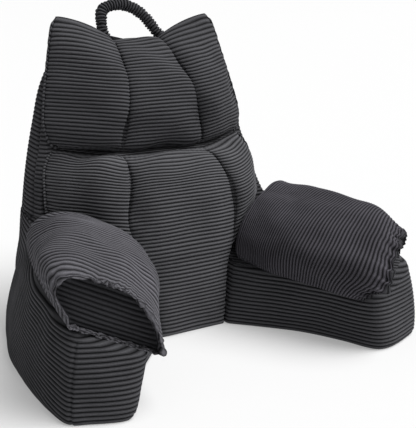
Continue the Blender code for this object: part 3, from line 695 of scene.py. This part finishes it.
cushion_cloth = corduroy("cushion_corduroy", "#5e5e61", "#010102", 8.0)
lumbar = quilted("lumbar_cover", LUMBAR_ROWS, LUMBAR_WALES, 0.0, True, 0.44, 3)
lumbar.data.materials.append(cushion_cloth)
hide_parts("lumbar_cushion")
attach(lumbar, "root")
head = quilted("head_cover", HEAD_ROWS, HEAD_WALES, HEAD_SWAY, False, -0.05, 8)
# The head cushion's cloth is painted a little darker than the lumbar's: painted shade, as both are one cloth.
head.data.materials.append(corduroy("head_corduroy_painted_shade", "#505053", "#010102", 8.0))
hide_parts("head_cushion")
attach(head, "root")

# --------------------------------------------------------------------------------------------------
# The two arm pads: stuffed half-round bolsters along the arms, with the wales running over them. Each
# is gathered at the front into a ruffled seam round a set-in end panel, and domed at the rear.

# share of the length from the rear, inner corner x y, outer corner x y, height
PAD_ENDS = (
    (0.00, 0.129, -0.045, 0.342, 0.048, 0.088),
    (0.30, 0.148, -0.116, 0.374, -0.050, 0.098),
    (0.65, 0.192, -0.222, 0.396, -0.168, 0.101),
    (1.00, 0.240, -0.346, 0.406, -0.298, 0.104),
)
PAD_STEPS, ARCH_POINTS, FLOOR_POINTS = 241, 141, 60
# Where the wales slant, relief grows over this share of the length, and fades on the dome's last rings.
START_SHARE, START_FADE = 0.03, (0.8, 0.6, 0.4, 0.2)
DOME_DEEP, LID_DEEP = 0.018, 0.002
# How far forward the end leans, by share of the way over the arch from the inner corner.
SQUARE = ((0, 0), (1, 0))
SAGGED = ((0, -0.022), (0.08, -0.006), (0.25, 0.031), (0.50, 0.013), (0.75, -0.018), (1, -0.032))
PAD_SWELL_LENGTH, PAD_SWELL_DEEP = 0.10, 0.0030
# The ruffles reach back about this many wales, and push the mouth's edge to and fro.
RUFFLE_REACH, RUFFLE_PUSH = 1.8, 0.0024
# The end panel's wales count from PANEL_COUNT at its corner. Its darker cloth, painted shade for the recessed
# panel, goes on all faces past PANEL_FROM, which are its own and, on the left pad with its 48 wales, the end
# of the roll.
PANEL_COUNT, PANEL_FROM, PANEL_BULGE = 60, 49, 0.006


def pad_corners(shares):
    """Inner and outer bottom corners and the height of the pad at these shares of its length."""
    ends = smooth_through(PAD_ENDS, shares)
    inner = np.stack([ends[:, 0], ends[:, 1], rest_z(ends[:, 0], ends[:, 1]) + CUSHION_GAP], axis=1)
    outer = np.stack([ends[:, 2], ends[:, 3], rest_z(ends[:, 2], ends[:, 3]) + CUSHION_GAP], axis=1)
    return inner, outer, ends[:, 4]


def drawn_in(inner, outer, share):
    """Both corners, moved in so that this share of their distance is left."""
    middle = (inner + outer) / 2
    return middle + (inner - middle) * share[:, None], middle + (outer - middle) * share[:, None]


def pad_rings(inner, outer, height, shift, stand, rounding, side):
    """The pad's rings: an arch from the inner corner to the outer one, and the flat below it back again.
    stand turns the arch's outer side upright, and rounding lowers its inner shoulder."""
    square = np.array([-REST_SLOPE_X, -REST_SLOPE_Y, 1.0])
    square /= np.linalg.norm(square)
    upright = np.array([0.0, 0.0, 1.0])
    middle, half = (inner + outer) / 2, (outer - inner) / 2
    part = np.linspace(0, 1, ARCH_POINTS)
    turn = -np.sign(np.cos(math.pi * part)) * np.abs(np.cos(math.pi * part)) ** 0.85
    skewed = math.pi * part[None] ** (1 + 0.3 * stand[:, None])
    lift = np.clip(np.sin(skewed), 0, 1) ** 0.75
    lift = lift * (1 - rounding[:, None] * np.clip(1 - 2 * part[None], 0, 1) ** 1.3)
    lean = stand[:, None] * (0.5 + 0.5 * turn[None])
    up = square + (upright - square) * lean[..., None]
    arch = middle[:, None] + half[:, None] * turn[None, :, None] + up * (height[:, None] * lift)[..., None]
    below = np.linspace(outer, inner, FLOOR_POINTS + 1, axis=1)[:, 1:]
    rings = np.concatenate([arch, below], axis=1) + shift[:, None]
    rings[..., 0] *= side
    return rings


def arm_pad(name, cloth, side, wales, upright_share, fullness, crown, ruffle_size, ruffle_length, profile,
            seed, lead=0.0, droop=0.0, skew=SQUARE, mouth_round=0.0):
    """A pad's cover. Over the top its wales run ahead by the share lead, and crown raises its middle.
    Towards the mouth upright_share stands its outer side up, fullness hangs it out, droop lowers its top,
    skew leans it and mouth_round rounds it. profile is the roll there, ring by ring."""
    mirror = np.array([side, 1, 1])
    shares = np.linspace(0, 1, PAD_STEPS)
    inner, outer, height = pad_corners(shares)
    gather = 0.03 * ramp(shares, 0.9, 0.1) ** 2
    middle = (inner + outer) / 2
    inner, outer = inner + (middle - inner) * gather[:, None], outer + (middle - outer) * gather[:, None]
    height = height * (1 - gather) + crown * np.sin(math.pi * shares) ** 1.5
    height = height * (1 - droop * ramp(shares, 0.70, 0.30) ** 2.6)
    stand = upright_share * ramp(shares, 0.3, 0.6)
    rounding = mouth_round * ramp(shares, 0.75, 0.25) ** 2
    ahead = inner[-1] + outer[-1] - np.sum(pad_corners([0.98])[:2], axis=0)[0]
    ahead /= np.linalg.norm(ahead)
    forward = mirror * ahead
    body = pad_rings(inner, outer, height, np.zeros_like(inner), stand, rounding, side)
    # The end may sag askew, its inner flank leaning forward over a foot that stays back.
    lag = np.concatenate([smooth_through(skew, np.linspace(0, 1, ARCH_POINTS))[:, 0],
                          np.linspace(skew[-1][1], skew[0][1], FLOOR_POINTS + 1)[1:]])
    askew = forward * lag[:, None]
    body = body + (ramp(shares, 0.40, 0.60) ** 1.5)[:, None, None] * askew
    # The wales may not cross squarely: over the top they run ahead of where they reach the two flanks.
    behind = int(math.ceil(wales * lead / (1 - lead)))
    counts = wale_rows(wales + behind) - behind
    over = np.append(np.sin(math.pi * np.linspace(0, 1, ARCH_POINTS)), np.zeros(FLOOR_POINTS)) ** 1.3
    crossing = counts[:, None] / wales + lead * (1 - counts[:, None] / wales) * over[None]
    # Rows that start behind the rear ring all lie on it, so nothing may move them apart.
    begun = ramp(crossing, 0, START_SHARE) if lead else np.ones(crossing.shape)
    crossing = np.clip(crossing, 0, 1)
    body = np.stack([read_path(crossing[:, column], shares, body[:, column])
                     for column in range(body.shape[1])], axis=1)
    held = np.zeros(body.shape[:2], bool)
    held[[0, -1]] = True
    held[:, :3] = held[:, ARCH_POINTS - 3:] = True
    body += filled(body, held, (6, 5), -side) * begun[..., None]

    # The rear dome, and the lid that closes it.
    angles = np.radians(np.linspace(90, 4, 22))
    rear_inner, rear_outer, rear_height = pad_corners([0.0])
    rear_ahead = np.sum(pad_corners([0.02])[:2], axis=0)[0] - rear_inner[0] - rear_outer[0]
    rear_ahead /= np.linalg.norm(rear_ahead)
    rear = pad_rings(*drawn_in(rear_inner, rear_outer, 0.84 + 0.16 * np.cos(angles)),
                     rear_height * (0.70 + 0.30 * np.cos(angles)),
                     -rear_ahead * DOME_DEEP * np.sin(angles)[:, None], 0 * angles, 0 * angles, side)
    close = np.linspace(0.05, 1, 18)[:-1]
    centre = rear[0].mean(axis=0)
    lid = centre + (rear[0][None] - centre) * close[:, None, None]
    lid = lid - (mirror * rear_ahead)[None, None] * (LID_DEEP * (1 - close ** 2))[:, None, None]

    # The gathered front: a ruffled bead that stands a little proud, then the end panel set back inside it.
    size = profile[:, 0]
    front = pad_rings(*drawn_in(inner[-1:], outer[-1:], size), height[-1:] * size,
                      ahead * 0.001 * profile[:, 1:], np.full(len(size), upright_share),
                      np.full(len(size), mouth_round), side) + askew
    place = np.concatenate([lid, rear, body, front])
    before = len(lid) + len(rear)
    front_counts = wales + np.linspace(0, lengths(front[:, ARCH_POINTS // 4])[-1] / WALE, len(front) + 1)[1:]
    count = np.concatenate([-behind - np.linspace(8, 0.1, before), counts, front_counts])
    normal = outward(place, -side)
    arch = np.arange(place.shape[1])
    off_corner = np.minimum(arch, ARCH_POINTS - 1 - arch)
    top = np.clip(off_corner / 4, 0, 1)[None]
    ridged = relief(count)[:, None] * np.clip(np.arange(len(place)) - len(lid), 0, 6)[:, None] / 6
    # The mouth is drawn up into uneven ruffles, strongest on its bead and dying away over the last wales.
    ring_along = row_lengths(place)
    bead_share = np.exp(-np.maximum(wales - count, 0) / RUFFLE_REACH)
    bead_share[-3:] *= (0.6, 0.3, 0.1)
    bead_share = bead_share[:, None]
    phase = 2 * math.pi * ring_along / ruffle_length + 2.6 * np.sin(0.64 * ring_along / ruffle_length + seed)
    uneven = 0.55 + 0.45 * np.sin(ring_along / 0.029 + 2 * seed)
    ruffle = (0.6 * np.sin(phase) * uneven + 0.6 * np.sin(math.pi * ring_along / ruffle_length + 3 * seed)
              + 0.15 * np.sin(1.9 * phase)) * bead_share
    edges = np.clip(off_corner / 6, 0, 1)[None] + (arch >= ARCH_POINTS)[None]
    amount = ridged * top * (1 - 0.6 * bead_share) + ruffle_size * ruffle * edges
    soft = PAD_SWELL_DEEP * waves(place, PAD_SWELL_LENGTH, seed)
    amount += soft * top * np.clip((count + behind + 4) / 6, 0, 1)[:, None]
    shown = np.ones(place.shape[:2])
    shown[before:before + len(body)] = begun
    if lead:
        shown[before - len(START_FADE):before] = np.array(START_FADE)[:, None]
    amount *= shown
    # The outer flank hangs full over the arm's edge towards the front.
    part = ramp(arch / (ARCH_POINTS - 1), 0.60, 0.38)[None]
    full = np.sin(math.pi * part ** 1.6) * ramp(count / wales, 0.25, 0.45)[:, None]
    hub = place[:, [0, ARCH_POINTS - 1]].mean(axis=1, keepdims=True)
    spoke = (place - hub) * (1, 1, 0.45)
    spoke /= np.linalg.norm(spoke, axis=2, keepdims=True) + 1e-9
    hang = fullness * full * (arch < ARCH_POINTS)[None]
    push = RUFFLE_PUSH * np.cos(phase * 0.83 + 1) * bead_share * edges * (count > wales - 4)[:, None]
    place = place + normal * amount[..., None] + spoke * hang[..., None]
    place = place + forward * push[..., None]
    coords = wale_coords(ring_along, count[:, None])
    coords = np.concatenate([coords, coords[:, -1:] + 0.4], axis=1)
    ring = (np.concatenate([place, place[:, :1]], axis=1), coords)

    # The end panel, with wales of its own that run level with its foot.
    rim = place[-1]
    base_in, base_out = rim[0], rim[ARCH_POINTS - 1]
    chord = (base_out - base_in) / np.linalg.norm(base_out - base_in)
    heart = rim.mean(axis=0)
    inside = np.append(1, np.linspace(1, 0, 19)[1:] ** 0.9)[:, None]
    panel = heart + (rim[None] - heart) * inside[..., None]
    rise = np.cross(forward, chord) * -side
    rise /= np.linalg.norm(rise)
    level = (panel - base_in) @ rise / WALE + PANEL_COUNT
    bulge = PANEL_BULGE * (1 - inside ** 2) + relief(level) * np.clip((1 - inside) / 0.12, 0, 1)
    panel = panel + forward * bulge[..., None]
    coords = wale_coords((panel - base_in) @ chord, level)
    end = (np.concatenate([panel, panel[:, :1]], axis=1), np.concatenate([coords, coords[:, :1]], axis=1))
    made = sewn(name, [ring, end])
    made.data.materials.append(cloth)
    made.data.materials.append(panel_cloth_painted_shade)
    layer = made.data.uv_layers["wales"].data
    for face in made.data.polygons:
        if all(layer[corner].uv.y > PANEL_FROM for corner in face.loop_indices):
            face.material_index = 1
    return made


# The left pad's cloth is painted a little darker than the right's: painted shade, as both are one cloth.
left_pad_cloth_painted_shade = corduroy("left_pad_corduroy_painted_shade", "#514f55", "#020203", 8.0)
right_pad_cloth = corduroy("right_pad_corduroy", "#616065", "#030304", 8.0)
# The end panels' cloth is painted darker still: painted shade for the recess under the pad's roll.
panel_cloth_painted_shade = corduroy("pad_end_corduroy_painted_shade", "#38383b", "#050506", 8.0)
# The roll at the front, ring by ring: its share of the full ring's size, and millimetres forward.
THIN_ROLL = ((1.006, 1.0), (1.014, 3.0), (1.016, 5.5), (1.008, 8.0), (0.994, 9.0), (0.980, 8.0),
             (0.970, 5.0), (0.962, 1.0), (0.955, -3.0), (0.945, -6.0), (0.920, -8.0))
FULL_ROLL = ((1.002, 1.5), (1.000, 3.8), (0.992, 6.8), (0.978, 9.6), (0.958, 11.8), (0.934, 13.2),
             (0.908, 14.0), (0.880, 14.2), (0.852, 13.4), (0.826, 11.6), (0.806, 8.6), (0.793, 4.8),
             (0.786, 0.5), (0.78, -4.0))
# The left pad has sagged, with a fat roll. The right one stands square, and has fewer, slanting wales.
LEFT_PAD = dict(side=1, wales=48, upright_share=0.7, fullness=0.009, crown=0.003, droop=0.26, skew=SAGGED,
                ruffle_size=0.0050, ruffle_length=0.021, profile=np.array(FULL_ROLL), seed=12)
RIGHT_PAD = dict(side=-1, wales=23, upright_share=1.0, fullness=0.030, crown=0.010, lead=0.26,
                 mouth_round=0.75, ruffle_size=0.0030, ruffle_length=0.0135,
                 profile=np.array(THIN_ROLL), seed=17)
for name, node, cloth, sizes in (("left_pad_cover", "arm_pad_left", left_pad_cloth_painted_shade, LEFT_PAD),
                                 ("right_pad_cover", "arm_pad_right", right_pad_cloth, RIGHT_PAD)):
    pad = arm_pad(name, cloth, **sizes)
    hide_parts(node)
    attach(pad, "root")

# --------------------------------------------------------------------------------------------------
# The carrying handle: a tube of the same cloth over a soft core, gathered into rings, its two ends
# sewn into the casing's top.

HANDLE_RADIUS = 0.0129
HANDLE_RINGS = 38
# The grooves between the rings lie RING_INSET inside the radius, and the rings RING_DEEP out of them.
RING_INSET, RING_DEEP, RING_SHAPE = 0.0030, 0.0038, 2.2
RING_SIZES = (0.94, 1.05)
RING_LEAN = 0.0016
HANDLE_LINE = (
    (-0.0571, 0.243, 0.6155), (-0.0571, 0.243, 0.6200), (-0.0571, 0.243, 0.6295), (-0.0619, 0.246, 0.6476),
    (-0.0610, 0.252, 0.6653), (-0.0574, 0.260, 0.6841), (-0.0485, 0.264, 0.6944), (-0.0280, 0.267, 0.7019),
    (0.0028, 0.268, 0.7029), (0.0285, 0.266, 0.6948), (0.0513, 0.262, 0.6793), (0.0657, 0.257, 0.6623),
    (0.0796, 0.250, 0.6417), (0.0900, 0.243, 0.6275), (0.0900, 0.243, 0.6200), (0.0900, 0.243, 0.6155),
)
HANDLE_SIDES = 28
LINE_STEPS = 801

knots = [(number, *place) for number, place in enumerate(HANDLE_LINE)]
counts = wale_rows(HANDLE_RINGS)
spine = even(smooth_through(knots, np.linspace(0, len(HANDLE_LINE) - 1, LINE_STEPS)), LINE_STEPS)
spine = read_path(counts / HANDLE_RINGS, np.linspace(0, 1, LINE_STEPS), spine)
tangent = np.gradient(spine, axis=0)
tangent[0] = (0.0, 0.0, 1.0)
tangent[-1] = (0.0, 0.0, -1.0)
tangent /= np.linalg.norm(tangent, axis=1, keepdims=True)
across = np.array([0.0, 1.0, 0.0]) - tangent * tangent[:, 1:2]
across /= np.linalg.norm(across, axis=1, keepdims=True)
other = np.cross(tangent, across)
numbers = np.random.default_rng(31)
turn = np.linspace(0, 2 * math.pi, HANDLE_SIDES + 1)
ring_middles = np.arange(HANDLE_RINGS + 1) + 0.5
ring_size = np.interp(counts, ring_middles, numbers.uniform(*RING_SIZES, HANDLE_RINGS + 1))
ring_lean = np.interp(counts, ring_middles, numbers.uniform(-RING_LEAN, RING_LEAN, HANDLE_RINGS + 1))
ridge = 1 - np.abs(2 * (counts % 1) - 1) ** RING_SHAPE
ends = np.clip(np.minimum(counts, HANDLE_RINGS - counts) / 0.8, 0, 1)
radius = (HANDLE_RADIUS - RING_INSET + RING_DEEP * ridge) * (1 + (ring_size - 1) * ends)
radius = radius[:, None] * (1 + 0.05 * np.sin(5 * turn[None] + 2.1 * counts[:, None]) * ends[:, None])
lean = (ring_lean * ends)[:, None] * np.sin(turn[None] + 0.26 * counts[:, None])
tube = (spine[:, None] + (radius * np.cos(turn))[..., None] * across[:, None]
        + (radius * np.sin(turn))[..., None] * other[:, None] + lean[..., None] * tangent[:, None])
coords = wale_coords(np.broadcast_to(turn * HANDLE_RADIUS, tube.shape[:2]), counts[:, None])
handle = sewn("handle_cover", [(tube, coords)])
handle.data.materials.append(corduroy("handle_corduroy", "#464649", "#050506", 20.0))
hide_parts("handle")
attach(handle, "root")

# --------------------------------------------------------------------------------------------------
# The photographer's table: a white floor that runs into the background, under a white sky and a broad
# key light from above.

floor_white = bpy.data.materials.new("white_paper")
floor_white.use_nodes = True
paper = floor_white.node_tree.nodes["Principled BSDF"]
for socket, value in (("Base Color", (0.52, 0.52, 0.52, 1.0)), ("Roughness", 0.9),
                      ("Emission Color", (1.0, 1.0, 1.0, 1.0)), ("Emission Strength", 0.3)):
    paper.inputs[socket].default_value = value
bpy.ops.mesh.primitive_plane_add(size=300, location=(0, 0, 0))
floor = bpy.context.object
floor.name = "floor"
floor.data.materials.append(floor_white)

world = bpy.data.worlds.new("studio")
bpy.context.scene.world = world
world.use_nodes = True
sky = world.node_tree.nodes["Background"]
sky.inputs["Color"].default_value = (1.0, 1.0, 1.0, 1.0)
sky.inputs["Strength"].default_value = 0.25

key = bpy.data.lights.new("key_light", "SUN")
key.energy = 4.0
key.angle = math.radians(50)
key_light = bpy.data.objects.new("key_light", key)
bpy.context.scene.collection.objects.link(key_light)
# From above, in front and further round to the sitter's left.
key_light.rotation_euler = (math.radians(32), 0.0, math.radians(56))

view = bpy.data.cameras.new("camera")
view.lens = 75.4
view.sensor_width = 36
camera = bpy.data.objects.new("camera", view)
bpy.context.scene.collection.objects.link(camera)
camera.location = (-0.964, -1.6245, 0.755)
camera.rotation_euler = (math.radians(90 - 14.53), 0.0, -math.radians(31.89))
bpy.context.scene.camera = camera
bpy.context.scene.view_settings.view_transform = "Standard"
